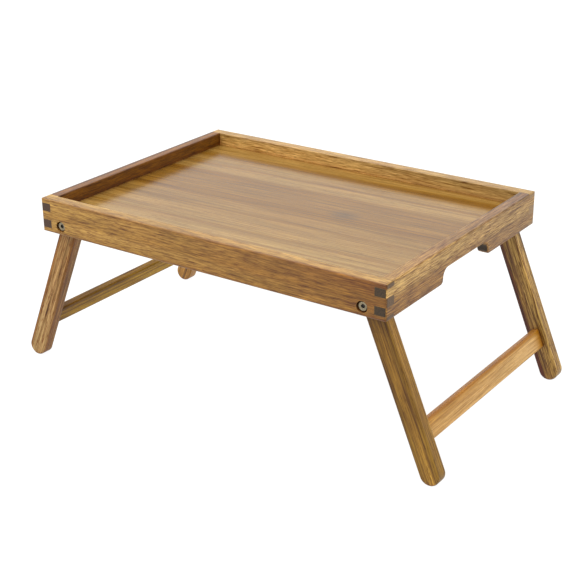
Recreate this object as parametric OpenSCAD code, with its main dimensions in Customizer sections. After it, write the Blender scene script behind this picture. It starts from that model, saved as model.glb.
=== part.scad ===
// Folding bed tray: a finger-jointed wooden tray on two leg frames that
// swing out on bolts and fold flat under the floor.
// The origin is on the ground, under the middle of the tray. +X runs along
// the tray to its right end, the front rail faces -Y, and +Z is up.

/* [Tray] */
// Length of the tray, left to right
tray_len = 500; // [440:1:600]
// Depth of the tray, front to back
tray_dep = 360; // [300:1:420]
// Height of the rails
rail_h = 44; // [42:1:60]
// Thickness of the front and back rails
long_t = 15.5; // [14:0.5:20]
// Thickness of the left and right rails
short_t = 15; // [12:0.5:16]
// Radius on the outer edges of the tray
edge_r = 2.5; // [1:0.25:3]
// Radius on the inner edge of the rim
rim_r = 1.5; // [0.5:0.25:2.5]

/* [Floor] */
// Depth of the floor below the rim
floor_drop = 17; // [12:0.5:17]
// Thickness of the floor panel
floor_t = 3; // [2.5:0.5:3]
// How far the panel goes into the rails
tongue = 5; // [3:0.5:7]

/* [Handles] */
// Width of a handle cutout between its side walls
handle_w = 108; // [80:1:140]
// Height of a handle cutout
handle_h = 17.5; // [17:0.5:19]
// Radius of the cutout's upper corners
handle_top_r = 10.5; // [6:0.5:11]
// Radius of the rounded lower corners beside the cutout
handle_low_r = 6; // [3.5:0.5:7]

/* [Legs] */
// Width of a leg
leg_w = 25; // [22:0.5:25]
// Thickness of a leg, front to back
leg_t = 18; // [16:0.5:22]
// Radius on the long edges of a leg
leg_r = 3; // [1:0.5:4]
// Angle that the open legs lean outward
splay = 22.5; // [18:0.5:26]
// Distance of the pivots from the ends of the tray
pivot_inset = 30.5; // [29:0.5:34]

/* [Crossbars] */
// Distance of a crossbar from the pivots, along the leg
bar_at = 161; // [100:1:180]
// Width of a crossbar, along the leg
bar_w = 25; // [22:0.5:28]
// Thickness of a crossbar
bar_t = 10; // [9:0.5:12]
// Radius on the long edges of a crossbar
bar_r = 2.5; // [1:0.25:4]
// Length of a crossbar's tenons
tenon_len = 12; // [8:0.5:14]

/* [Pivot bolts] */
// Diameter of the bolt head
head_d = 11; // [9:0.5:12]
// Height of the bolt head
head_h = 4; // [3:0.5:4.5]
// Diameter of the bolt shank
shank_d = 6; // [5:0.5:6]
// Width of the hexagon socket across its flats
socket_af = 5; // [3:0.5:5.5]
// Diameter of the counterbore around the head
cbore_d = 14; // [13:0.5:16]
// Depth of the counterbore
cbore_h = 6; // [5:0.5:7]

/* [Hidden] */
$fn = 64;

past = 1;              // how far a cut runs past a face
glue = 0.05;           // gap in a glued joint
turn_gap = 0.05;       // radial gap around a turning shank
side_gap = 0.1;        // gap between the rail and a bolt head or washer
fold_gap = 0.5;        // gap between a folded leg and the floor
tip_gap = 1;           // gap between the feet of the two folded frames
stop_gap = 0.15;       // gap between an open leg and its stop
panel_gap = 0.2;       // gap between the rails and the raised middle of the floor

// The finger joint, as fractions of the rail height from the rim down
finger_at = [0, 6/44, 16.5/44, 27.5/44, 38/44, 1];

inner_x = tray_len / 2 - short_t;
inner_y = tray_dep / 2 - long_t;
pivot_x = tray_len / 2 - pivot_inset;
pivot_drop = floor_drop + floor_t + fold_gap + leg_w / 2;
reach = pivot_x - tip_gap / 2;
foot_at = reach - leg_w / 2;
pivot_z = foot_at * cos(splay) + leg_w / 2;
rim_z = pivot_z + pivot_drop;
base_z = rim_z - rail_h;
tongue_t = floor_t - 1;

washer_t = 0.8;
washer_d = 14;
washer_bore = 6.4;
leg_face_y = inner_y - washer_t - side_gap;
leg_back_y = leg_face_y - leg_t;
insert_d = 9;
insert_len = 12;
insert_hole_len = 14;
shank_in_leg = 11;
head_y = tray_dep / 2 - cbore_h + side_gap;
shank_len = head_y - leg_face_y + shank_in_leg;
socket_h = 2.5;
head_chamfer = 0.5;
tenon_w = bar_w - 7;
tenon_t = bar_t - 3;
stop_len = 26;

wood = "#b07a3c";
wood_pale = "#c99a5c";
wood_floor = "#bd9a6c";
metal = "#d3d0c8";
zinc = "#a9aaa6";

// A w by h rectangle with round corners, about its centre
module round_rect(w, h, r) {
    square([w - 2 * r, h], center = true);
    square([w, h - 2 * r], center = true);
    for (x = [-1, 1], y = [-1, 1])
        translate([x * (w / 2 - r), y * (h / 2 - r)]) circle(r);
}

// A box about its centre with every edge rounded
module soft_box(x, y, z, r) {
    intersection() {
        linear_extrude(z, center = true) round_rect(x, y, r);
        rotate([90, 0, 0]) linear_extrude(y, center = true) round_rect(x, z, r);
        rotate([90, 0, 90]) linear_extrude(x, center = true) round_rect(y, z, r);
    }
}

// The outside of the whole tray
module tray_envelope() {
    translate([0, 0, rim_z - rail_h / 2]) soft_box(tray_len, tray_dep, rail_h, edge_r);
}

// The waste outside a rounded corner, in 2D: the corner is at the origin and
// the wood lies towards +X and -Y
module corner_waste(r) {
    difference() {
        translate([-past, -r]) square([r + past, r + past]);
        translate([r, -r]) circle(r);
    }
}

// The waste along an edge of the given length on the X axis
module edge_waste(len, r) {
    rotate([90, 0, 90]) linear_extrude(len, center = true) corner_waste(r);
}

// The waste along the inner edges of all four rails, at the height of the rim
module inner_waste(r) {
    for (s = [0, 180]) rotate(s) {
        translate([0, inner_y, 0]) edge_waste(2 * inner_x, r);
        translate([inner_x, 0, 0]) rotate(-90) edge_waste(2 * inner_y, r);
    }
}

// The waste along the inner edges at the rim and underneath
module rim_waste() {
    translate([0, 0, rim_z]) inner_waste(rim_r);
    translate([0, 0, base_z]) mirror([0, 0, 1]) inner_waste(edge_r);
}

// The slabs of height between the finger cuts that start at index i
module finger_slabs(first, x, y, grow) {
    for (i = [first : 2 : 4])
        translate([0, 0, rim_z - rail_h * (finger_at[i] + finger_at[i + 1]) / 2])
            cube([x, y, rail_h * (finger_at[i + 1] - finger_at[i]) + 2 * grow], center = true);
}

// The tongue around the floor panel and what lies inside it, as one slab
module tongue_slab(grow) {
    translate([0, 0, rim_z - floor_drop - floor_t + tongue_t / 2])
        cube([2 * (inner_x + tongue + grow), 2 * (inner_y + tongue + grow), tongue_t + 2 * grow],
             center = true);
}

// The bore and counterbore of one pivot, cut into the back rail
module pivot_cut() {
    translate([0, tray_dep / 2, 0]) rotate([90, 0, 0]) {
        translate([0, 0, -past]) cylinder(d = cbore_d, h = cbore_h + past);
        cylinder(d = shank_d + 2 * turn_gap, h = long_t + past);
    }
}

// The back rail; the front one is its mirror image
module long_rail() {
    difference() {
        intersection() {
            translate([0, inner_y + long_t / 2, rim_z - rail_h / 2])
                cube([tray_len, long_t, rail_h], center = true);
            tray_envelope();
        }
        for (s = [-1, 1]) {
            translate([s * (inner_x + short_t / 2 + past / 2), inner_y + long_t / 2, 0])
                finger_slabs(1, short_t + past + 2 * glue, long_t + 2 * past, glue);
            translate([s * pivot_x, 0, pivot_z]) pivot_cut();
        }
        tongue_slab(glue);
        rim_waste();
    }
}

// The outline of a handle cutout, up from the rail's lower edge
module handle_outline() {
    half = handle_w / 2;
    translate([-half, -past]) square([handle_w, past + handle_h - handle_top_r]);
    translate([-half + handle_top_r, 0]) square([handle_w - 2 * handle_top_r, handle_h]);
    for (s = [-1, 1]) {
        translate([s * (half - handle_top_r), handle_h - handle_top_r]) circle(handle_top_r);
        difference() {
            translate([s * (half + (handle_low_r - past) / 2), (handle_low_r - past) / 2])
                square(handle_low_r + past, center = true);
            translate([s * (half + handle_low_r), handle_low_r]) circle(handle_low_r);
        }
    }
}

// The waste around the edge of a handle cutout, on a face that looks up +Z
module handle_edges() {
    half = handle_w / 2;
    top_at = handle_h - handle_top_r;
    translate([0, handle_h, 0]) edge_waste(2 * (half - handle_top_r), edge_r);
    for (s = [0, 1]) mirror([s, 0, 0]) {
        translate([half - handle_top_r, top_at, 0]) rotate_extrude(angle = 90)
            translate([handle_top_r, 0]) corner_waste(edge_r);
        translate([half, (handle_low_r + top_at) / 2, 0])
            rotate(-90) edge_waste(top_at - handle_low_r, edge_r);
        translate([half + handle_low_r, handle_low_r, 0]) rotate(180) rotate_extrude(angle = 90)
            translate([handle_low_r, 0]) mirror([1, 0]) corner_waste(edge_r);
    }
}

// The flat on the right rail's inner lower edge that an open leg rests on
module stop_cut() {
    translate([pivot_x, leg_face_y - leg_t / 2, pivot_z]) rotate([0, -splay, 0])
        translate([0, 0, -rail_h / 2])
            cube([leg_w + 2 * stop_gap, stop_len, rail_h], center = true);
}

// The right rail; the left one is its mirror image
module short_rail() {
    difference() {
        intersection() {
            translate([inner_x + short_t / 2, 0, rim_z - rail_h / 2])
                cube([short_t, tray_dep, rail_h], center = true);
            tray_envelope();
        }
        for (s = [-1, 1])
            translate([inner_x + short_t / 2, s * (inner_y + long_t / 2 + past / 2), 0])
                finger_slabs(0, short_t + 2 * past, long_t + past + 2 * glue, glue);
        translate([inner_x + short_t / 2, 0, base_z]) rotate([90, 0, 90])
            linear_extrude(short_t + 2 * past, center = true) handle_outline();
        translate([tray_len / 2, 0, base_z]) rotate([90, 0, 90]) handle_edges();
        translate([inner_x, 0, base_z]) mirror([1, 0, 0]) rotate([90, 0, 90]) handle_edges();
        for (s = [0, 1]) mirror([0, s, 0]) stop_cut();
        tongue_slab(glue);
        rim_waste();
    }
}

// The floor panel: its tongue is rebated, so the top ends just inside the rails
module floor_panel() {
    tongue_slab(0);
    translate([0, 0, rim_z - floor_drop - floor_t / 2])
        cube([2 * (inner_x - panel_gap), 2 * (inner_y - panel_gap), floor_t], center = true);
}

// Puts a piece of the right frame in place: the pivot is its origin, and
// the leg runs down its -Z axis
module hung() {
    translate([pivot_x, 0, pivot_z]) rotate([0, -splay, 0]) children();
}

// The round end of a leg, about the Y axis
module leg_end() {
    half = leg_w / 2;
    rotate([90, 0, 0])
        rotate_extrude() {
            translate([0, -leg_t / 2]) square([half - leg_r, leg_t]);
            translate([0, -leg_t / 2 + leg_r]) square([half, leg_t - 2 * leg_r]);
            for (s = [-1, 1])
                translate([half - leg_r, s * (leg_t / 2 - leg_r)]) circle(leg_r);
        }
}

// The back right leg, hung from its pivot
module leg() {
    difference() {
        translate([0, leg_face_y - leg_t / 2, 0]) union() {
            translate([0, 0, -foot_at]) linear_extrude(foot_at) round_rect(leg_w, leg_t, leg_r);
            leg_end();
            translate([0, 0, -foot_at]) leg_end();
        }
        translate([0, leg_face_y + past, 0]) rotate([90, 0, 0])
            cylinder(d = insert_d + 2 * glue, h = insert_hole_len + past);
        translate([0, leg_back_y + (tenon_len - past) / 2, -bar_at])
            cube([tenon_t + 2 * glue, tenon_len + past + 2 * glue, tenon_w + 2 * glue], center = true);
    }
}

// The right crossbar, hung from the pivots
module crossbar() {
    translate([0, 0, -bar_at]) {
        rotate([90, 0, 0])
            linear_extrude(2 * leg_back_y, center = true) round_rect(bar_t, bar_w, bar_r);
        cube([tenon_t, 2 * (leg_back_y + tenon_len), tenon_w], center = true);
    }
}

// The back right bolt: a turned head with a hexagon socket, and its shank
module bolt() {
    translate([0, head_y, 0]) rotate([-90, 0, 0]) difference() {
        union() {
            cylinder(d = head_d, h = head_h - head_chamfer);
            translate([0, 0, head_h - head_chamfer])
                cylinder(d1 = head_d, d2 = head_d - 2 * head_chamfer, h = head_chamfer);
            translate([0, 0, -shank_len]) cylinder(d = shank_d, h = shank_len);
        }
        translate([0, 0, head_h - socket_h])
            cylinder(d = socket_af / cos(30), h = socket_h + past, $fn = 6);
    }
}

// The back right spacer washer, between the leg and the rail
module washer() {
    translate([0, leg_face_y, 0]) rotate([-90, 0, 0]) difference() {
        cylinder(d = washer_d, h = washer_t);
        translate([0, 0, -past]) cylinder(d = washer_bore, h = washer_t + 2 * past);
    }
}

// The back right threaded insert, sunk in the leg
module insert() {
    translate([0, leg_face_y - insert_len, 0]) rotate([-90, 0, 0]) difference() {
        cylinder(d = insert_d, h = insert_len);
        translate([0, 0, -past]) cylinder(d = shank_d + 2 * glue, h = insert_len + 2 * past);
    }
}

// The same piece on another corner: left and front are mirror images
module at(left, front) {
    mirror([left, 0, 0]) mirror([0, front, 0]) children();
}

module rail_front() { color(wood) at(0, 1) long_rail(); }
module rail_back() { color(wood) at(0, 0) long_rail(); }
module rail_left() { color(wood) at(1, 0) short_rail(); }
module rail_right() { color(wood) at(0, 0) short_rail(); }
module tray_floor() { color(wood_floor) floor_panel(); }
module leg_front_left() { color(wood) at(1, 1) hung() leg(); }
module leg_back_left() { color(wood) at(1, 0) hung() leg(); }
module leg_front_right() { color(wood) at(0, 1) hung() leg(); }
module leg_back_right() { color(wood) at(0, 0) hung() leg(); }
module crossbar_left() { color(wood_pale) at(1, 0) hung() crossbar(); }
module crossbar_right() { color(wood_pale) at(0, 0) hung() crossbar(); }
module bolt_front_left() { color(metal) at(1, 1) hung() bolt(); }
module bolt_back_left() { color(metal) at(1, 0) hung() bolt(); }
module bolt_front_right() { color(metal) at(0, 1) hung() bolt(); }
module bolt_back_right() { color(metal) at(0, 0) hung() bolt(); }
module washer_front_left() { color(zinc) at(1, 1) hung() washer(); }
module washer_back_left() { color(zinc) at(1, 0) hung() washer(); }
module washer_front_right() { color(zinc) at(0, 1) hung() washer(); }
module washer_back_right() { color(zinc) at(0, 0) hung() washer(); }
module insert_front_left() { color(zinc) at(1, 1) hung() insert(); }
module insert_back_left() { color(zinc) at(1, 0) hung() insert(); }
module insert_front_right() { color(zinc) at(0, 1) hung() insert(); }
module insert_back_right() { color(zinc) at(0, 0) hung() insert(); }

rail_front();
rail_back();
rail_left();
rail_right();
tray_floor();
leg_front_left();
leg_back_left();
crossbar_left();
leg_front_right();
leg_back_right();
crossbar_right();
bolt_front_left();
bolt_back_left();
bolt_front_right();
bolt_back_right();
washer_front_left();
washer_back_left();
washer_front_right();
washer_back_right();
insert_front_left();
insert_back_left();
insert_front_right();
insert_back_right();
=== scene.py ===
import math
from typing import NamedTuple

import bmesh
import bpy
from bpy.props import FloatProperty, FloatVectorProperty, PointerProperty
from mathutils import Matrix, Vector


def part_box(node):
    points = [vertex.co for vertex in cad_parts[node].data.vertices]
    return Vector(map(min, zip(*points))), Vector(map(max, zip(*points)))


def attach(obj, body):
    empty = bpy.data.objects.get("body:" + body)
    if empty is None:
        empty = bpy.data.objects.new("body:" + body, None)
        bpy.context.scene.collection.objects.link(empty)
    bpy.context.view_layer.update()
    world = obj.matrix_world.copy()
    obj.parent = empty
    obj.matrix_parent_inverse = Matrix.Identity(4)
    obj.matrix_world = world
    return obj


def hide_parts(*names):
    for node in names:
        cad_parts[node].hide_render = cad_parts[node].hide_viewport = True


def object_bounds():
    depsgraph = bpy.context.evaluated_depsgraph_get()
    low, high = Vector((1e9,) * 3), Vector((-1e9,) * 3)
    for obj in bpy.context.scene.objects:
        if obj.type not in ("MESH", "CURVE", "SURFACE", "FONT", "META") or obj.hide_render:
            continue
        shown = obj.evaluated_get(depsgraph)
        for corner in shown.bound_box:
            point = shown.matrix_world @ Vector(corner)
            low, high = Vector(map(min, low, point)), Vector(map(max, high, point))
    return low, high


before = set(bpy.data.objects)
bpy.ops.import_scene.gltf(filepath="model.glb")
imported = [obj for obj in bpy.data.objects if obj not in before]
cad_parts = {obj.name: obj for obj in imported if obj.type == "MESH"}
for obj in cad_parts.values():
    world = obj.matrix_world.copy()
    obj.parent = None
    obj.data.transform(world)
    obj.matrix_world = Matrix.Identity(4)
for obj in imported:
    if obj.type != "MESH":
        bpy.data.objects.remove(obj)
CAD_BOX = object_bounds()

bl_info = {
    "name": "Folding Tray Table",
    "version": (1, 0, 0),
    "blender": (4, 5, 0),
    "location": "View3D > Sidebar > Tray Table",
    "description": "Finishes the wood and the bolts of the folding tray table, and sets its studio stage",
    "category": "Object",
}

MM = 0.001
BLACK, WHITE = (0, 0, 0), (1, 1, 1)
LEG_SPLAY = math.radians(22.5)

# The pivot bolts.
HEAD_HEIGHT, SHANK_RADIUS = 0.004, 0.003
BROKEN_EDGE = 0.0003            # how far a turned edge is broken
AROUND, RIM_STEPS = 48, 6       # points round a ring, and steps over the rounded rim
SHARP_FOLD = math.radians(35)   # folds sharper than this stay crisp

# The stage. Directions point from the table.
KEY_FROM = (-0.3, -0.4, 1)      # where the overhead light stands
BEHIND = (-0.53, 0.75, 0.4)     # where the brighter wall stands
AIM_X, AIM_Y, AIM_BELOW_TOP = -0.000445, 0.001604, 0.130625   # what the camera looks at
FLOOR_RADIUS, FLOOR_SIDES = 12, 96
FAR_CLIP = 100


def linear(code):
    """The linear colour of an sRGB hex code such as "#b07a3c"."""
    parts = [int(code[i : i + 2], 16) / 255 for i in (1, 3, 5)]
    return tuple(c / 12.92 if c <= 0.04045 else ((c + 0.055) / 1.055) ** 2.4 for c in parts)


def mixed(a, b, share):
    """The colour that lies share of the way from a to b, or beyond it."""
    return tuple(max(0.0, x + (y - x) * share) for x, y in zip(a, b))


def colour(name, description, code):
    """A colour property with its default as sRGB hex."""
    return FloatVectorProperty(name=name, description=description, default=linear(code),
                               size=3, min=0, max=1, subtype="COLOR")


class WoodColours(bpy.types.PropertyGroup):
    """The dark, middle and pale tone of each board, and the tone of its ends."""

    rail_front_dark: colour("Front rail, dark", "Brown heartwood of the front rail", "#6a400d")
    rail_front_body: colour("Front rail", "Main tone of the front rail", "#8e6625")
    rail_front_pale: colour("Front rail, pale", "Golden bands of the front rail", "#a37c39")
    rail_front_end: colour("Front rail, ends", "End grain of the front rail", "#5f4528")
    rail_back_dark: colour("Back rail, dark", "Brown heartwood of the back rail", "#906f3b")
    rail_back_body: colour("Back rail", "Main tone of the back rail", "#a27d43")
    rail_back_pale: colour("Back rail, pale", "Golden bands of the back rail", "#c99c54")
    rail_back_end: colour("Back rail, ends", "End grain of the back rail", "#96754a")
    rail_left_dark: colour("Left rail, dark", "Brown heartwood of the left rail", "#542e02")
    rail_left_body: colour("Left rail", "Main tone of the left rail", "#704104")
    rail_left_pale: colour("Left rail, pale", "Paler bands of the left rail", "#815310")
    rail_left_end: colour("Left rail, ends", "End grain of the left rail", "#3c2718")
    rail_right_dark: colour("Right rail, dark", "Brown heartwood of the right rail", "#764913")
    rail_right_body: colour("Right rail", "Main tone of the right rail", "#9d702d")
    rail_right_pale: colour("Right rail, pale", "Golden bands of the right rail", "#b68e4c")
    rail_right_end: colour("Right rail, ends", "End grain of the right rail", "#1f1408")
    tray_floor_dark: colour("Floor, dark", "Brown heartwood of the floor", "#6e4807")
    tray_floor_body: colour("Floor", "Main tone of the floor", "#7d5a21")
    tray_floor_pale: colour("Floor, pale", "Pale bands of the floor", "#906f37")
    tray_floor_end: colour("Floor, ends", "End grain of the floor", "#5c4222")
    leg_front_left_dark: colour("Front left leg, dark", "Brown heartwood of the front left leg", "#6f4106")
    leg_front_left_body: colour("Front left leg", "Main tone of the front left leg", "#856132")
    leg_front_left_pale: colour("Front left leg, pale", "Pale bands of the front left leg", "#9a7b4d")
    leg_front_left_end: colour("Front left leg, ends", "End grain of the front left leg", "#5f4526")
    leg_back_left_dark: colour("Back left leg, dark", "Brown heartwood of the back left leg", "#7c5515")
    leg_back_left_body: colour("Back left leg", "Main tone of the back left leg", "#8a5f1f")
    leg_back_left_pale: colour("Back left leg, pale", "Pale bands of the back left leg", "#986827")
    leg_back_left_end: colour("Back left leg, ends", "End grain of the back left leg", "#6b4a24")
    leg_front_right_dark: colour("Front right leg, dark", "Brown heartwood of the front right leg", "#583907")
    leg_front_right_body: colour("Front right leg", "Main tone of the front right leg", "#795718")
    leg_front_right_pale: colour("Front right leg, pale", "Golden bands of the front right leg", "#ab7c2d")
    leg_front_right_end: colour("Front right leg, ends", "End grain of the front right leg", "#56401f")
    leg_back_right_dark: colour("Back right leg, dark", "Brown heartwood of the back right leg", "#65430a")
    leg_back_right_body: colour("Back right leg", "Main tone of the back right leg", "#8a682c")
    leg_back_right_pale: colour("Back right leg, pale", "Golden bands of the back right leg", "#a88240")
    leg_back_right_end: colour("Back right leg, ends", "End grain of the back right leg", "#5a4220")
    crossbar_left_dark: colour("Left crossbar, dark", "Brown heartwood of the left crossbar", "#644306")
    crossbar_left_body: colour("Left crossbar", "Main tone of the left crossbar", "#8a650f")
    crossbar_left_pale: colour("Left crossbar, pale", "Golden bands of the left crossbar", "#a57d18")
    crossbar_left_end: colour("Left crossbar, ends", "End grain of the left crossbar", "#5c4222")
    crossbar_right_dark: colour("Right crossbar, dark", "Brown bands of the right crossbar", "#ab782b")
    crossbar_right_body: colour("Right crossbar", "Main tone of the right crossbar", "#bb8f4d")
    crossbar_right_pale: colour("Right crossbar, pale", "Pale sapwood of the right crossbar", "#c69c5f")
    crossbar_right_end: colour("Right crossbar, ends", "End grain of the right crossbar", "#7a5a30")
    grey_heart: colour("Grey heartwood", "The grey-brown tone that some boards turn to", "#64503a")


class Finish(bpy.types.PropertyGroup):
    """Gloss, grain and wear of the wood, and the sheen, highlights and shade painted on it."""

    oil_roughness: FloatProperty(
        name="Oiled roughness", description="Roughness of the oiled rails and legs",
        default=0.42, min=0.05, max=1, subtype="FACTOR")
    lacquer_roughness: FloatProperty(
        name="Lacquer roughness", description="Roughness of the lacquered floor",
        default=0.16, min=0.02, max=1, subtype="FACTOR")
    streak_depth: FloatProperty(
        name="Streaks", description="How strongly the fine streaks show", default=1.0, min=0, max=3)
    pore_depth: FloatProperty(
        name="Pore depth", description="How deep the pores lie in the oiled wood",
        default=0.00008, min=0, max=0.001, unit="LENGTH", precision=5)
    # The paler edges are partly rubbed wear and partly painted highlight.
    wear_and_highlight_width: FloatProperty(
        name="Worn edge", description="Width of the paler, rubbed edges",
        default=0.0012, min=0.0001, max=0.005, unit="LENGTH", precision=4)
    wear_and_highlight: FloatProperty(
        name="Wear", description="How much paler the rubbed edges are",
        default=0.12, min=0, max=1, subtype="FACTOR")
    # Painted shade: corners are darkened towards the corner tint this far out.
    corner_shade_width: FloatProperty(
        name="Corner width", description="How far old oil and dust reach out of a corner",
        default=0.007, min=0.001, max=0.05, unit="LENGTH", precision=4)
    # Painted sheen: oiled faces that look up are mixed this far towards a pale grey.
    painted_light: FloatProperty(
        name="Dust", description="How thick the dust lies on oiled faces that look up",
        default=0.035, min=0, max=1, subtype="FACTOR")
    painted_sheen_colour: colour("Dust colour", "Colour of the dust on faces that look up", "#e2e4e8")
    # Painted shade: the colour that the corners are multiplied by.
    corner_shade_tint: colour("Corner tint", "What the corners' tone is multiplied by", "#d8b285")


class BoltSizes(bpy.types.PropertyGroup):
    """The pivot bolts, inside the frame's own bolts."""

    rim: FloatProperty(
        name="Rounded rim", description="Radius of the head's rounded rim",
        default=0.0006, min=0.0001, max=0.001, unit="LENGTH", precision=4)
    dish: FloatProperty(
        name="Dish", description="How far the head's face is hollowed",
        default=0.0004, min=0, max=0.001, unit="LENGTH", precision=4)
    socket: FloatProperty(
        name="Socket", description="Width of the hexagon socket across its flats",
        default=0.0046, min=0.002, max=0.005, unit="LENGTH", precision=4)
    socket_depth: FloatProperty(
        name="Socket depth", description="Depth of the hexagon socket",
        default=0.0024, min=0.001, max=0.003, unit="LENGTH", precision=4)


class StageSettings(bpy.types.PropertyGroup):
    """Floor, light and camera."""

    floor_tone: colour("Floor tone", "Colour of the studio floor", "#5a5a5a")
    floor_glow: FloatProperty(
        name="Floor glow", description="Strength of the light behind the white acrylic floor",
        default=0.96, min=0, max=5)
    sky: FloatProperty(
        name="Surrounding light", description="Strength of the white light from all round",
        default=0.92, min=0, max=5)
    back_wall: FloatProperty(
        name="Back wall", description="Extra strength of the light from behind the table",
        default=0.12, min=0, max=5)
    overhead: FloatProperty(
        name="Overhead light", description="Strength of the broad light from above",
        default=3.0, min=0, max=20)
    overhead_spread: FloatProperty(
        name="Overhead spread", description="How wide the light from above looks, which softens its shadows",
        default=math.radians(70), subtype="ANGLE")
    lens: FloatProperty(
        name="Lens", description="Focal length of the camera in millimetres",
        default=81.795, min=20, max=200, unit="CAMERA")
    azimuth: FloatProperty(
        name="Azimuth", description="Angle of the camera round the table, from the front",
        default=math.radians(34.985), subtype="ANGLE")
    elevation: FloatProperty(
        name="Elevation", description="Angle of the camera above the horizon",
        default=math.radians(23.249), subtype="ANGLE")
    roll: FloatProperty(
        name="Roll", description="Tilt of the camera about its own axis",
        default=math.radians(-0.512), subtype="ANGLE")
    distance: FloatProperty(
        name="Distance", description="Distance from the camera to what it looks at",
        default=1.69338, min=0.2, max=10, unit="LENGTH")


class TrayTableSettings(bpy.types.PropertyGroup):
    """All settings of the tray table."""

    wood: PointerProperty(type=WoodColours, name="Wood")
    finish: PointerProperty(type=Finish, name="Finish")
    bolts: PointerProperty(type=BoltSizes, name="Bolts")
    stage: PointerProperty(type=StageSettings, name="Stage")


class Board(NamedTuple):
    """How one board was cut from the log.

    The figure of a board is a row of (place, tone) or (place, tone, grey). A place is in millimetres from the
    board's middle, measured across the grain in the direction across. Tone -1 is the board's dark colour,
    0 its body colour and 1 its pale one. Grey is the share of grey heartwood.
    """

    node: str
    run: tuple            # direction of the grain
    seed: float           # which piece of timber it is
    near: tuple           # figure at the board's left or front end, or at a leg's top
    far: tuple            # figure at its other end
    across: tuple = (1, 1)
    waver: float = 5.0    # how far the grain wanders from straight
    streaks: float = 1.0  # how strong the fine streaks are
    stretch: float = 1.0  # how much longer the streaks are than usual
    knot: tuple = ()      # middle of a faint knot in a board with its grain along X, in millimetres
    shine: float = 0.35   # how strongly the oil shines
    leg_shade: float = 0.0    # how dark the painted shade lies where the far end meets its leg


ALONG_X, ALONG_Y = (1, 0, 0), (0, 1, 0)
LEFT_LEG = (-math.sin(LEG_SPLAY), 0, -math.cos(LEG_SPLAY))
RIGHT_LEG = (math.sin(LEG_SPLAY), 0, -math.cos(LEG_SPLAY))
ALMOST_ALONG_X = (1, 0.034, 0)

RAILS = (
    Board("rail_front", ALONG_X, 3.1,
          near=((-28, -0.4), (-25, 0.2), (-16, 0.9), (-13, 0.7), (-10, 0.0), (7, 0.7), (13, -0.3), (24, 0.5),
                (28, 1.3)),
          far=((-28, -1.1), (-24, -0.5), (-20, -0.8), (-14, -0.9), (-6, -0.8), (7, -1.1), (14, -1.0),
               (15.5, 0.3), (19, 0.9), (28, 0.5))),
    Board("rail_back", ALONG_X, 11.7,
          near=((-1, 1.0), (3, 0.9), (8, 0.6), (12, 0.0), (20, 0.1), (23, -0.1)),
          far=((-1, -0.4), (5, -0.2), (8, -0.6), (12, -0.8), (16, -1.1), (19, 0.0), (23, -0.8))),
    Board("rail_left", ALONG_Y, 23.4,
          near=((-1, -0.1), (4, 0.0), (10, 0.7), (18, -0.5), (21, 0.5), (25, -1.0)),
          far=((-1, 0.1), (5, 0.6), (12, -0.3), (18, -0.3), (20, 1.2), (22, 0.9), (25, -1.0))),
    Board("rail_right", ALONG_Y, 31.9, streaks=1.3,
          near=((-28, -0.9), (-24, -0.5), (-8, -0.4), (3, 1.1), (9, 0.9), (20, 0.1, 0.2), (28, 0.2, 0.2)),
          far=((-28, -0.8, 0.4), (-24, 0.1, 0.4), (-11, -0.2, 0.4), (-3, 1.0, 0.2), (12, 0.1, 0.4),
               (17, -1.9, 0.6), (22, -1.3, 0.5), (28, -2.0, 0.7))),
)
FLOOR = Board(
    "tray_floor", ALMOST_ALONG_X, 47.2, across=(1, 0), waver=2.0, streaks=0.8, stretch=6.0, knot=(75, 10),
    near=((-130, 1.2), (-114, 1.1), (-108, 0.3), (-104, 0.6), (-98, -0.6), (-93, 0.6), (-70, 0.5),
          (-54, 0.2), (-49, -0.6), (-44, 0.3), (-28, 0.2), (-14, -1.0), (-6, -0.5), (34, -0.3), (66, -1.2),
          (70, 0.5), (89, 0.6), (94, -0.8), (100, 0.3), (116, 0.5), (128, -0.8), (146, 0.7)),
    far=((-130, 1.1), (-127, -0.3), (-124, 1.1), (-112, 0.7), (-104, 0.7), (-99, -0.2), (-94, 0.7),
         (-70, 0.6), (-54, 0.3), (-49, -0.4), (-44, 0.5), (-20, 0.0), (0, -1.0), (8, -0.3), (59, -0.5),
         (72, 0.8), (90, 0.7), (95, -0.9), (101, 0.5), (114, 0.6), (124, -1.1), (138, -1.0), (147, 0.4)))
LEGS = (
    Board("leg_front_left", LEFT_LEG, 53.8, streaks=1.3, stretch=2.5, shine=0.2,
          near=((-18, -0.8), (-16, 0.2), (-10, -0.4), (-2, 0.3), (2, -1.1), (10, -0.6), (14, 0.2)),
          far=((-18, -0.6), (-16, 0.5), (-13, 1.0), (-1, 0.3), (2, 0.8), (7, -0.9), (14, -0.6))),
    Board("leg_back_left", LEFT_LEG, 61.3, streaks=1.2, stretch=2.5,
          near=((-15, -0.1), (-12, 1.0), (-8, 0.4), (-4, -0.9), (-2, 0.5)),
          far=((-15, -0.3), (-12, 0.8), (-8, 0.2), (-4, -1.1), (-2, 0.6))),
    Board("leg_front_right", RIGHT_LEG, 72.6, streaks=1.0, stretch=2.5, shine=0.25,
          near=((-18, -1.0), (-12, -0.9), (-6, -1.0), (2, -0.6), (5, 0.4), (10, 1.0), (16, 0.6)),
          far=((-18, -0.3), (-12, 0.5), (-6, 0.5), (-3, 0.0), (2, 0.0), (7, 0.0), (16, 0.1))),
    Board("leg_back_right", RIGHT_LEG, 83.5, streaks=1.7, stretch=1.6,
          near=((-17, -1.5), (-13, -0.1), (-10, -1.7), (-6, -0.1), (-2, 0.3), (1, -0.3), (5, 1.3), (11, 0.9),
                (15, -0.1)),
          far=((-17, -1.6), (-13, -0.4), (-11, -1.0), (-10, 0.1), (-8, 0.4), (-4, -0.6), (1, 0.1), (6, 1.2),
               (14, 0.7))),
)
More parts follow.
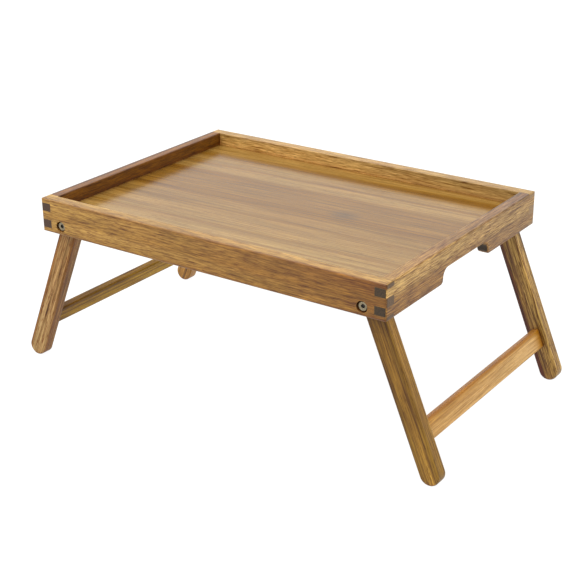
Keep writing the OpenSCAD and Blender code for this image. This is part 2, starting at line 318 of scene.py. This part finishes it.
CROSSBARS = (
    Board("crossbar_left", ALONG_Y, 91.2, across=(0, 1), stretch=2.5, shine=0.12,
          near=((-12, -0.6), (-7, -0.1), (-3, -0.2), (-1, -1.4), (2, -0.1), (5, -1.2)),
          far=((-12, 0.2), (-7, 1.5), (-3, 1.2), (-1, -0.2), (2, 1.3), (5, 0.2))),
    # The right crossbar gets painted shade at its far end, where it meets its leg.
    Board("crossbar_right", ALONG_Y, 99.9, across=(0, 1), streaks=0.65, stretch=2.5, leg_shade=0.9,
          near=((-8, -0.1), (2, -0.4), (6, -1.0), (10, -1.1), (12, -1.7)),
          far=((-8, 0.4), (-5, 0.8), (-1, 1.1), (7, 0.7), (9, 0), (11, -1.4), (12, -1.6))),
)


class Texture(NamedTuple):
    """A noise drawn out along the grain. Its blots are length by width, in millimetres."""

    name: str
    length: float
    width: float
    place: tuple             # its own place in the noise, so that no two textures match
    strength: float = 0.0    # how strongly it shows as streaks
    detail: float = 2.0
    roughness: float = 0.5


# The streaks are bands, threads and flecks. The real fibres are finer than would show, and so are the pores:
# 0.2 mm across in the real wood, they are drawn 0.9 mm across and 10 mm long.
TEXTURES = (
    Texture("clouds", 90, 14, (3, 1)),
    Texture("bands", 160, 5, (5, 9), strength=0.5),
    Texture("threads", 60, 2.1, (1, 4), strength=1.1, detail=3),
    Texture("flecks", 20, 1.25, (2, 6), strength=3.6, detail=3, roughness=0.6),
    Texture("pores", 10, 0.9, (7, 2)),
)
STREAKS = tuple(texture for texture in TEXTURES if texture.strength)
MEAN_STREAK = sum(texture.strength for texture in STREAKS) / 2

CLOUD_TURN = (0.12, 0, -0.12)      # how far a cloud turns the wood redder or yellower
CLOUD_GAIN = (0.3, 0.34, 0.5)      # how far it pales the wood
CLOUD_DARKEST = (0.79, 0.83, 0.81)
STREAK_GAIN, STREAK_REST = (0.82, 1, 1.4), (0.18, 0, -0.4)   # a dark streak is redder than a pale one
PORE_EDGE, PORE_MIDDLE, PORE_SHARE = 0.56, 0.7, 0.8
SWAY_LENGTH, SWAY_WIDTH = 200, 50          # millimetres of board over which the grain wanders
RING_LENGTH, RING_WIDTH = 4, 1.5           # of the rings in the end grain, in millimetres
KNOT_LENGTH, KNOT_WIDTH = 26, 20           # in millimetres
KNOT_SHARE = 0.6                           # of grey, in the middle of the knot
# Where the painted shade at the right crossbar's far end begins, and where it is full.
LEG_SHADE_START, LEG_SHADE_FULL = 120, 146         # in millimetres from the bar's middle
# Of these tones, the dark at the bar's far end is painted shade, and the pale of the rubbed edges is partly
# painted highlight.
PORE_DARK, LEG_SHADE_DARK, WEAR_AND_HIGHLIGHT_PALE = 1.3, 1.5, 1.8   # tones a little past the board's dark and pale ones
GLOSS_LOW, GLOSS_HIGH = -0.04, 0.08        # how far the roughness strays from its middle value
END_GRAIN_SHARE = 0.97
SEALED_RELIEF, OPEN_RELIEF = 0.15, 0.6
LACQUER_IOR, OIL_IOR = 1.54, 1.5


def add(tree, kind, inputs=None, stops=(), **settings):
    """Adds a node with its settings, fills or links its inputs, and sets a ramp's (place, colour) stops."""
    node = tree.nodes.new(kind)
    for key, value in settings.items():
        setattr(node, key, value)
    for key, value in (inputs or {}).items():
        if isinstance(value, bpy.types.NodeSocket):
            tree.links.new(value, node.inputs[key])
        else:
            node.inputs[key].default_value = value
    if stops:
        elements = node.color_ramp.elements
        while len(elements) < len(stops):
            elements.new(0.5)
        for element, (place, rgb) in zip(elements, stops):
            element.position = place
            element.color = (*rgb, 1)
    return node


def new_material(name):
    """An empty material: its tree and its surface shader."""
    material = bpy.data.materials.new(name)
    material.use_nodes = True
    tree = material.node_tree
    tree.nodes.clear()
    shader = add(tree, "ShaderNodeBsdfPrincipled")
    add(tree, "ShaderNodeOutputMaterial", {"Surface": shader.outputs["BSDF"]})
    return material, tree, shader


def wood_tones(board):
    """The dark, middle and pale tone of a board, and the tone of its ends."""
    wood = bpy.context.scene.tray_table.wood
    return [tuple(getattr(wood, f"{board.node}_{tone}")) for tone in ("dark", "body", "pale", "end")]


def grain_lines(tree, board, place):
    """Millimetres from the board's middle, X along the grain: in straight lines, and as the grain wanders."""
    low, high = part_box(board.node)
    turn = Vector(board.run).rotation_difference(Vector(ALONG_X)).to_matrix()
    middle = turn @ ((low + high) / 2)
    log = add(tree, "ShaderNodeMapping", {
        "Vector": place.outputs["Object"],
        "Location": tuple(-middle / MM),
        "Rotation": turn.to_euler("XYZ"),
        "Scale": (1 / MM, 1 / MM, 1 / MM)}).outputs["Vector"]

    # The grain wanders slowly, both ways from straight.
    scale = (1 / SWAY_LENGTH, 1 / SWAY_WIDTH, 1 / SWAY_WIDTH)
    sway = add(tree, "ShaderNodeVectorMath", {0: log, 1: scale, 2: (board.seed, 0, 0)},
               operation="MULTIPLY_ADD")
    sway = add(tree, "ShaderNodeTexNoise", {"Vector": sway.outputs[0], "Scale": 1, "Detail": 2,
                                            "Roughness": 0.5})
    sway = add(tree, "ShaderNodeVectorMath", {0: sway.outputs["Color"], 1: (0.5, 0.5, 0.5)},
               operation="SUBTRACT")
    sway = add(tree, "ShaderNodeVectorMath", {0: sway.outputs[0], 1: (0, board.waver, board.waver), 2: log},
               operation="MULTIPLY_ADD")
    return log, sway.outputs[0]


def own_bands(tree, board, length, grain):
    """The board's own brown and golden bands, which change from its near end to its far end."""
    dark, body, pale, _ = wood_tones(board)
    grey_heart = tuple(bpy.context.scene.tray_table.wood.grey_heart)
    reach = max(abs(row[0]) for row in board.near + board.far) + 1
    lay = add(tree, "ShaderNodeVectorMath", {0: grain, 1: (0, *board.across)}, operation="DOT_PRODUCT")
    lay = add(tree, "ShaderNodeMapRange", {"Value": lay.outputs["Value"], "From Min": -reach,
                                           "From Max": reach})
    figures = []
    for rows in (board.near, board.far):
        stops = []
        for at, tone, *grey in rows:
            shade = mixed(body, pale if tone > 0 else dark, abs(tone))
            stops.append(((at + reach) / (2 * reach), mixed(shade, grey_heart, sum(grey))))
        figures.append(add(tree, "ShaderNodeValToRGB", {"Fac": lay.outputs[0]}, stops).outputs["Color"])
    low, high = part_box(board.node)
    half = (high - low).length / 2 / MM
    along = add(tree, "ShaderNodeMapRange", {"Value": length, "From Min": -half, "From Max": half})
    return add(tree, "ShaderNodeMix", {"Factor": along.outputs[0], "A": figures[0], "B": figures[1]},
               data_type="RGBA").outputs["Result"]


def streaked(tree, board, noise, wood):
    """Clouds of redder, yellower, darker and paler wood, under fine streaks and short dark pores."""
    dark, body, *_ = wood_tones(board)
    clouds = noise["clouds"]
    tint = add(tree, "ShaderNodeVectorMath", {0: clouds.outputs["Color"], 1: CLOUD_TURN, 2: CLOUD_DARKEST},
               operation="MULTIPLY_ADD")
    tint = add(tree, "ShaderNodeVectorMath", {0: clouds.outputs["Fac"], 1: CLOUD_GAIN, 2: tint.outputs[0]},
               operation="MULTIPLY_ADD")
    depth = board.streaks * bpy.context.scene.tray_table.finish.streak_depth
    streak = 1 - MEAN_STREAK * depth
    for texture in STREAKS:
        streak = add(tree, "ShaderNodeMath", {0: noise[texture.name].outputs[0], 1: texture.strength * depth,
                                              2: streak}, operation="MULTIPLY_ADD").outputs[0]
    streak = add(tree, "ShaderNodeVectorMath", {0: streak, 1: STREAK_GAIN, 2: STREAK_REST},
                 operation="MULTIPLY_ADD")
    tint = add(tree, "ShaderNodeVectorMath", {0: tint.outputs[0], 1: streak.outputs[0]}, operation="MULTIPLY")
    wood = add(tree, "ShaderNodeVectorMath", {0: wood, 1: tint.outputs[0]}, operation="MULTIPLY")
    pores = add(tree, "ShaderNodeMapRange", {"Value": noise["pores"].outputs[0], "From Min": PORE_EDGE,
                                             "From Max": PORE_MIDDLE})
    share = add(tree, "ShaderNodeMath", {0: pores.outputs[0], 1: PORE_SHARE * depth}, operation="MULTIPLY")
    wood = add(tree, "ShaderNodeMix", {"Factor": share.outputs[0], "A": wood.outputs[0],
                                       "B": (*mixed(body, dark, PORE_DARK), 1)},
               data_type="RGBA").outputs["Result"]
    return wood, pores.outputs[0]


def knotted(tree, board, grain, wood):
    """A knot just below the surface shows as a faint grey cloud."""
    x, y = board.knot
    knot = add(tree, "ShaderNodeVectorMath", {
        0: grain,
        1: (1 / KNOT_LENGTH, 1 / KNOT_WIDTH, 0),
        2: (-x / KNOT_LENGTH, -y / KNOT_WIDTH, 0)}, operation="MULTIPLY_ADD")
    knot = add(tree, "ShaderNodeVectorMath", {0: knot.outputs[0]}, operation="LENGTH")
    knot = add(tree, "ShaderNodeMapRange", {"Value": knot.outputs["Value"], "From Min": 0.1, "From Max": 1,
                                            "To Min": KNOT_SHARE, "To Max": 0})
    shade = mixed(bpy.context.scene.tray_table.wood.grey_heart, BLACK, 0.45)
    return add(tree, "ShaderNodeMix", {"Factor": knot.outputs[0], "A": wood, "B": (*shade, 1)},
               data_type="RGBA").outputs["Result"]


def shaded_by_leg(tree, board, length, wood):
    """Painted shade: the end of the bar where it meets its leg is darkened to a deeper orange."""
    dark, body, *_ = wood_tones(board)
    leg_shade = add(tree, "ShaderNodeMapRange", {"Value": length, "From Min": LEG_SHADE_START, "From Max": LEG_SHADE_FULL,
                                             "To Max": board.leg_shade}, interpolation_type="SMOOTHSTEP")
    return add(tree, "ShaderNodeMix", {"Factor": leg_shade.outputs[0], "A": wood,
                                       "B": (*mixed(body, dark, LEG_SHADE_DARK), 1)},
               data_type="RGBA").outputs["Result"]


def end_grained(tree, board, place, log, wood):
    """Oil sinks into end grain and darkens it. The rings are drawn coarser than real ones, to show."""
    _, _, pale, end = wood_tones(board)
    facing = add(tree, "ShaderNodeVectorMath", {0: place.outputs["Normal"], 1: board.run},
                 operation="DOT_PRODUCT")
    facing = add(tree, "ShaderNodeMath", {0: facing.outputs["Value"]}, operation="ABSOLUTE")
    ends = add(tree, "ShaderNodeMapRange", {"Value": facing.outputs[0], "From Min": 0.7, "From Max": 0.92,
                                            "To Max": END_GRAIN_SHARE})
    scale = (1 / RING_LENGTH, 1 / RING_WIDTH, 1 / RING_WIDTH)
    rings = add(tree, "ShaderNodeVectorMath", {0: log, 1: scale, 2: (board.seed, 8, 3)},
                operation="MULTIPLY_ADD")
    rings = add(tree, "ShaderNodeTexNoise", {"Vector": rings.outputs[0], "Scale": 1, "Detail": 2,
                                             "Roughness": 0.5})
    rings = add(tree, "ShaderNodeValToRGB", {"Fac": rings.outputs[0]},
                ((0.3, mixed(end, BLACK, 0.3)), (0.7, mixed(end, pale, 0.06))))
    return add(tree, "ShaderNodeMix", {"Factor": ends.outputs[0], "A": wood, "B": rings.outputs["Color"]},
               data_type="RGBA").outputs["Result"]


def painted_shading_and_wear(tree, board, place, lacquered, wood):
    """Painted sheen on faces that look up, sharp edges made paler as rubbed wear and painted highlight, and
    painted shade in corners.
    """
    finish = bpy.context.scene.tray_table.finish
    _, body, pale, _ = wood_tones(board)
    # Painted sheen: faces that look up are mixed towards a pale grey.
    upward = add(tree, "ShaderNodeSeparateXYZ", {0: place.outputs["Normal"]})
    painted_light = add(tree, "ShaderNodeMapRange", {"Value": upward.outputs["Z"], "From Min": 0.6, "From Max": 0.95,
                                            "To Max": 0 if lacquered else finish.painted_light})
    wood = add(tree, "ShaderNodeMix", {"Factor": painted_light.outputs[0], "A": wood, "B": (*finish.painted_sheen_colour, 1)},
               data_type="RGBA").outputs["Result"]

    # Edges made paler: partly rubbed wear, partly painted highlight.
    rounded = add(tree, "ShaderNodeBevel", {"Radius": finish.wear_and_highlight_width}, samples=4)
    shape = add(tree, "ShaderNodeNewGeometry")
    wear_and_highlight = add(tree, "ShaderNodeVectorMath", {0: rounded.outputs[0], 1: shape.outputs["Normal"]},
               operation="DOT_PRODUCT")
    wear_and_highlight = add(tree, "ShaderNodeMapRange", {"Value": wear_and_highlight.outputs["Value"], "From Min": 0.97,
                                            "From Max": 0.75, "To Max": finish.wear_and_highlight})
    wood = add(tree, "ShaderNodeMix", {"Factor": wear_and_highlight.outputs[0], "A": wood,
                                       "B": (*mixed(body, pale, WEAR_AND_HIGHLIGHT_PALE), 1)},
               data_type="RGBA").outputs["Result"]

    # Painted shade: where corners close in, the wood is multiplied towards the corner tint.
    corner = add(tree, "ShaderNodeAmbientOcclusion", {"Distance": finish.corner_shade_width}, samples=4)
    corner_shade = add(tree, "ShaderNodeValToRGB", {"Fac": corner.outputs["AO"]},
                ((0.35, finish.corner_shade_tint), (0.85, WHITE)))
    return add(tree, "ShaderNodeVectorMath", {0: wood, 1: corner_shade.outputs["Color"]},
               operation="MULTIPLY").outputs[0]


def acacia(board, name, lacquered=False):
    """Oiled or lacquered acacia: brown veins and golden bands along the board, with short dark pores.

    The figure is cut from one solid log, so it meets at the board's edges. The ends are dark, where the oil
    sank in.
    """
    finish = bpy.context.scene.tray_table.finish
    material, tree, shader = new_material(name)
    place = add(tree, "ShaderNodeTexCoord")
    log, grain = grain_lines(tree, board, place)
    length = add(tree, "ShaderNodeSeparateXYZ", {0: log}).outputs["X"]

    noise = {}
    for texture in TEXTURES:
        stretch = board.stretch if texture in STREAKS else 1
        scale = (1 / (texture.length * stretch), 1 / texture.width, 1 / texture.width)
        at = add(tree, "ShaderNodeVectorMath", {0: grain, 1: scale, 2: (board.seed, *texture.place)},
                 operation="MULTIPLY_ADD")
        noise[texture.name] = add(tree, "ShaderNodeTexNoise", {
            "Vector": at.outputs[0], "Scale": 1, "Detail": texture.detail, "Roughness": texture.roughness})

    wood = own_bands(tree, board, length, grain)
    wood, pores = streaked(tree, board, noise, wood)
    if board.knot:
        wood = knotted(tree, board, grain, wood)
    # Painted shade at a bar's far end, where it meets its leg.
    if board.leg_shade:
        wood = shaded_by_leg(tree, board, length, wood)
    wood = end_grained(tree, board, place, log, wood)
    # Painted sheen on top faces, partly painted highlight on edges, painted shade in corners.
    wood = painted_shading_and_wear(tree, board, place, lacquered, wood)
    tree.links.new(wood, shader.inputs["Base Color"])

    gloss = finish.lacquer_roughness if lacquered else finish.oil_roughness
    rough = add(tree, "ShaderNodeMapRange", {"Value": noise["threads"].outputs[0],
                                             "To Min": gloss + GLOSS_LOW, "To Max": gloss + GLOSS_HIGH})
    tree.links.new(rough.outputs[0], shader.inputs["Roughness"])
    relief = add(tree, "ShaderNodeBump", {"Strength": SEALED_RELIEF if lacquered else OPEN_RELIEF,
                                          "Distance": finish.pore_depth, "Height": pores}, invert=True)
    tree.links.new(relief.outputs["Normal"], shader.inputs["Normal"])
    shader.inputs["IOR"].default_value = LACQUER_IOR if lacquered else OIL_IOR
    if not lacquered:
        shader.inputs["Specular IOR Level"].default_value = board.shine
    return material


def nickel_plate():
    """Nickel-plated steel: warm, bright metal. Its turning marks are drawn 1.1 mm apart, to show."""
    material, tree, shader = new_material("nickel_plated_steel")
    shader.inputs["Metallic"].default_value = 1
    place = add(tree, "ShaderNodeTexCoord")
    marks = add(tree, "ShaderNodeTexNoise", {"Vector": place.outputs["Object"], "Scale": 900, "Detail": 2})
    tone = add(tree, "ShaderNodeValToRGB", {"Fac": marks.outputs[0]},
               ((0.35, linear("#756a55")), (0.7, linear("#a3987f"))))
    tree.links.new(tone.outputs["Color"], shader.inputs["Base Color"])
    rough = add(tree, "ShaderNodeMapRange", {"Value": marks.outputs[0], "To Min": 0.22, "To Max": 0.4})
    tree.links.new(rough.outputs[0], shader.inputs["Roughness"])
    return material


def socket_shade_paint():
    """Painted shade in the sockets: nearly black steel, with a weak shine that is uneven over 0.8 mm."""
    material, tree, shader = new_material("black_oxide_steel")
    place = add(tree, "ShaderNodeTexCoord")
    film = add(tree, "ShaderNodeTexNoise", {"Vector": place.outputs["Object"], "Scale": 1200, "Detail": 2})
    tone = add(tree, "ShaderNodeValToRGB", {"Fac": film.outputs[0]},
               ((0.35, linear("#0c0906")), (0.7, linear("#1d160f"))))
    tree.links.new(tone.outputs["Color"], shader.inputs["Base Color"])
    rough = add(tree, "ShaderNodeMapRange", {"Value": film.outputs[0], "To Min": 0.4, "To Max": 0.65})
    tree.links.new(rough.outputs[0], shader.inputs["Roughness"])
    return material


def zinc_plate():
    """Zinc-plated steel: a dull, bluish grey with soft spangles about 1.7 mm across."""
    material, tree, shader = new_material("zinc_plated_steel")
    shader.inputs["Metallic"].default_value = 1
    place = add(tree, "ShaderNodeTexCoord")
    marks = add(tree, "ShaderNodeTexVoronoi", {"Vector": place.outputs["Object"], "Scale": 600})
    tone = add(tree, "ShaderNodeValToRGB", {"Fac": marks.outputs["Distance"]},
               ((0.1, linear("#8f9294")), (0.8, linear("#b4b5b4"))))
    tree.links.new(tone.outputs["Color"], shader.inputs["Base Color"])
    rough = add(tree, "ShaderNodeMapRange", {"Value": marks.outputs["Distance"], "To Min": 0.35,
                                             "To Max": 0.5})
    tree.links.new(rough.outputs[0], shader.inputs["Roughness"])
    return material


def finish_node(node, material):
    """Gives a part of the frame its finish."""
    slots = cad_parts[node].data.materials
    slots.clear()
    slots.append(material)


def bolt_rings(sizes, head, shank):
    """A bolt's rings, from the middle of its socket to the tip of its shank: (radius, height, hexagon)."""
    rim, flat = sizes.rim, sizes.socket / 2
    face, foot = HEAD_HEIGHT - sizes.dish, HEAD_HEIGHT - sizes.socket_depth
    rings = [(flat * 0.55, foot - 0.0004, False),                 # the drilled foot of the socket
             (flat * 0.9, foot, False),
             (flat, foot, True),                                  # the socket's six walls
             (flat, face - BROKEN_EDGE, True),
             (flat + 2 * BROKEN_EDGE, face, False),               # the hollowed face
             (flat + 0.0010, face + 0.3 * sizes.dish, False)]
    for step in range(RIM_STEPS + 1):
        turn = math.pi / 2 * step / RIM_STEPS
        rings.append((head - rim + rim * math.sin(turn), HEAD_HEIGHT - rim + rim * math.cos(turn), False))
    rings += [(head, BROKEN_EDGE, False),                         # the head's side and underside
              (head - 0.0002, 0, False),
              (SHANK_RADIUS + BROKEN_EDGE, 0, False),             # the shank
              (SHANK_RADIUS, -BROKEN_EDGE, False),
              (SHANK_RADIUS, -shank + 2 * BROKEN_EDGE, False),
              (SHANK_RADIUS - 0.0005, -shank, False)]
    return rings


def make_bolt(node, sizes):
    """A pivot bolt: a head with a rounded rim, a hollowed face and a hexagon socket, on a plain shank."""
    low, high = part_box(node)
    front = low.y < 0
    outward = Vector((0, -1 if front else 1, 0))
    centre = (low + high) / 2
    seat = Vector((centre.x, low.y if front else high.y, centre.z)) - outward * HEAD_HEIGHT
    head = (high.x - low.x) / 2
    shank = high.y - low.y - HEAD_HEIGHT
    side, up = Vector((1, 0, 0)), Vector((0, 0, 1))

    shape = bmesh.new()
    rows = []
    for radius, height, hexagon in bolt_rings(sizes, head, shank):
        row = []
        for i in range(AROUND):
            angle = 2 * math.pi * i / AROUND
            reach = radius / math.cos(angle % (math.pi / 3) - math.pi / 6) if hexagon else radius
            row.append(shape.verts.new(
                seat + outward * height + (side * math.cos(angle) + up * math.sin(angle)) * reach))
        rows.append(row)
    for inner, outer in zip(rows, rows[1:]):
        for i in range(AROUND):
            j = (i + 1) % AROUND
            shape.faces.new((inner[i], outer[i], outer[j], inner[j]))
    shape.faces.new(rows[0])
    shape.faces.new(reversed(rows[-1]))
    bmesh.ops.recalc_face_normals(shape, faces=shape.faces)

    # The socket's faces get the second material, which paints shade into them.
    socket_points = {point for row in rows[:4] for point in row}
    for face in shape.faces:
        face.smooth = True
        if all(point in socket_points for point in face.verts):
            face.material_index = 1
    for edge in shape.edges:
        if len(edge.link_faces) == 2 and edge.calc_face_angle() > SHARP_FOLD:
            edge.smooth = False

    mesh = bpy.data.meshes.new(f"pivot_{node}")
    shape.to_mesh(mesh)
    shape.free()
    bolt = bpy.data.objects.new(f"pivot_{node}", mesh)
    bpy.context.scene.collection.objects.link(bolt)
    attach(bolt, "left_legs" if centre.x < 0 else "right_legs")
    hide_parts(node)
    return bolt


def make_floor(tone, glow):
    """A wide, plain studio floor of matt white acrylic, lit from behind."""
    shape = bmesh.new()
    bmesh.ops.create_circle(shape, cap_ends=True, segments=FLOOR_SIDES, radius=FLOOR_RADIUS)
    mesh = bpy.data.meshes.new("studio_floor")
    shape.to_mesh(mesh)
    shape.free()
    floor = bpy.data.objects.new("studio_floor", mesh)
    bpy.context.scene.collection.objects.link(floor)
    material, _, shader = new_material("lit_white_acrylic")
    shader.inputs["Roughness"].default_value = 0.9
    shader.inputs["Specular IOR Level"].default_value = 0.1
    shader.inputs["Base Color"].default_value = (*tone, 1)
    shader.inputs["Emission Color"].default_value = (*WHITE, 1)
    shader.inputs["Emission Strength"].default_value = glow
    mesh.materials.append(material)


def make_sky(scene, stage):
    """White light from all round, a little stronger from behind the table."""
    world = bpy.data.worlds.new("white_studio")
    world.use_nodes = True
    tree = world.node_tree
    tree.nodes.clear()
    place = add(tree, "ShaderNodeTexCoord")
    towards = add(tree, "ShaderNodeVectorMath", {0: place.outputs["Generated"], 1: BEHIND},
                  operation="DOT_PRODUCT")
    wall = add(tree, "ShaderNodeMapRange", {"Value": towards.outputs["Value"], "From Min": 0.3, "From Max": 1,
                                            "To Min": stage.sky, "To Max": stage.sky + stage.back_wall})
    light = add(tree, "ShaderNodeBackground", {"Color": (*WHITE, 1), "Strength": wall.outputs[0]})
    add(tree, "ShaderNodeOutputWorld", {"Surface": light.outputs[0]})
    scene.world = world


def make_softbox(scene, stage):
    """A broad, soft light from above and a little from the front left."""
    lamp = bpy.data.lights.new("overhead_softbox", "SUN")
    lamp.energy = stage.overhead
    lamp.angle = stage.overhead_spread
    softbox = bpy.data.objects.new("overhead_softbox", lamp)
    softbox.rotation_euler = Vector(KEY_FROM).to_track_quat("Z", "Y").to_euler()
    scene.collection.objects.link(softbox)


def make_camera(scene, stage):
    """The camera, which looks down at the table from its front right."""
    aim = Vector((AIM_X, AIM_Y, CAD_BOX[1].z - AIM_BELOW_TOP))
    back = Vector((math.sin(stage.azimuth) * math.cos(stage.elevation),
                   -math.cos(stage.azimuth) * math.cos(stage.elevation),
                   math.sin(stage.elevation)))
    right = Vector((math.cos(stage.azimuth), math.sin(stage.azimuth), 0))
    up = back.cross(right)
    roll = Matrix.Rotation(stage.roll, 3, back)
    turn = Matrix((roll @ right, roll @ up, back)).transposed()
    lens = bpy.data.cameras.new("studio_camera")
    lens.lens = stage.lens
    lens.clip_end = FAR_CLIP
    camera = bpy.data.objects.new("studio_camera", lens)
    camera.matrix_world = Matrix.Translation(aim + back * stage.distance) @ turn.to_4x4()
    scene.collection.objects.link(camera)
    scene.camera = camera


class TRAYTABLE_OT_rails(bpy.types.Operator):
    """Finish the four rails of the tray in oiled acacia"""

    bl_idname = "tray_table.rails"
    bl_label = "Rails"

    def execute(self, context):
        for board in RAILS:
            finish_node(board.node, acacia(board, f"oiled_acacia_{board.node}"))
        return {"FINISHED"}


class TRAYTABLE_OT_floor(bpy.types.Operator):
    """Finish the floor panel in lacquered acacia"""

    bl_idname = "tray_table.floor"
    bl_label = "Floor panel"

    def execute(self, context):
        finish_node(FLOOR.node, acacia(FLOOR, "lacquered_acacia_floor", lacquered=True))
        return {"FINISHED"}


class TRAYTABLE_OT_legs(bpy.types.Operator):
    """Finish the four legs in oiled acacia"""

    bl_idname = "tray_table.legs"
    bl_label = "Legs"

    def execute(self, context):
        for board in LEGS:
            finish_node(board.node, acacia(board, f"oiled_acacia_{board.node}"))
        return {"FINISHED"}


class TRAYTABLE_OT_crossbars(bpy.types.Operator):
    """Finish the two crossbars in oiled acacia"""

    bl_idname = "tray_table.crossbars"
    bl_label = "Crossbars"

    def execute(self, context):
        for board in CROSSBARS:
            finish_node(board.node, acacia(board, f"oiled_acacia_{board.node}"))
        return {"FINISHED"}


class TRAYTABLE_OT_bolts(bpy.types.Operator):
    """Build the four pivot bolts"""

    bl_idname = "tray_table.bolts"
    bl_label = "Pivot bolts"

    def execute(self, context):
        # The second material paints shade into the sockets.
        nickel, socket_shade_material = nickel_plate(), socket_shade_paint()
        nodes = sorted(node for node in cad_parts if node.startswith("bolt_"))
        if len(nodes) != 4:
            raise RuntimeError("the frame should have four bolts")
        for node in nodes:
            bolt = make_bolt(node, context.scene.tray_table.bolts)
            bolt.data.materials.append(nickel)
            bolt.data.materials.append(socket_shade_material)
        return {"FINISHED"}


class TRAYTABLE_OT_washers(bpy.types.Operator):
    """Finish the washers and inserts in zinc plate"""

    bl_idname = "tray_table.washers"
    bl_label = "Washers and inserts"

    def execute(self, context):
        zinc = zinc_plate()
        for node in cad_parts:
            if node.startswith(("washer_", "insert_")):
                finish_node(node, zinc)
        return {"FINISHED"}


class TRAYTABLE_OT_stage(bpy.types.Operator):
    """Set the studio floor, the soft light and the camera"""

    bl_idname = "tray_table.stage"
    bl_label = "Stage"

    def execute(self, context):
        scene, stage = context.scene, context.scene.tray_table.stage
        scene.view_settings.view_transform = "Standard"
        make_floor(stage.floor_tone, stage.floor_glow)
        make_sky(scene, stage)
        make_softbox(scene, stage)
        make_camera(scene, stage)
        return {"FINISHED"}


class TRAYTABLE_PT_panel(bpy.types.Panel):
    """Tray table pieces and settings"""

    bl_idname = "TRAYTABLE_PT_panel"
    bl_label = "Tray Table"
    bl_space_type = "VIEW_3D"
    bl_region_type = "UI"
    bl_category = "Tray Table"

    def draw(self, context):
        settings = context.scene.tray_table
        for operator in OPERATORS:
            self.layout.operator(operator.bl_idname)
        for group in (settings.wood, settings.finish, settings.bolts, settings.stage):
            box = self.layout.box()
            for key in group.__annotations__:
                box.prop(group, key)


OPERATORS = (TRAYTABLE_OT_rails, TRAYTABLE_OT_floor, TRAYTABLE_OT_legs, TRAYTABLE_OT_crossbars,
             TRAYTABLE_OT_bolts, TRAYTABLE_OT_washers, TRAYTABLE_OT_stage)
CLASSES = (WoodColours, Finish, BoltSizes, StageSettings, TrayTableSettings, *OPERATORS, TRAYTABLE_PT_panel)


def register():
    for cls in CLASSES:
        bpy.utils.register_class(cls)
    bpy.types.Scene.tray_table = PointerProperty(type=TrayTableSettings)


def unregister():
    del bpy.types.Scene.tray_table
    for cls in reversed(CLASSES):
        bpy.utils.unregister_class(cls)


def main():
    register()
    bpy.ops.tray_table.rails()
    bpy.ops.tray_table.floor()
    bpy.ops.tray_table.legs()
    bpy.ops.tray_table.crossbars()
    bpy.ops.tray_table.bolts()
    bpy.ops.tray_table.washers()
    bpy.ops.tray_table.stage()


if __name__ == "__main__":
    main()
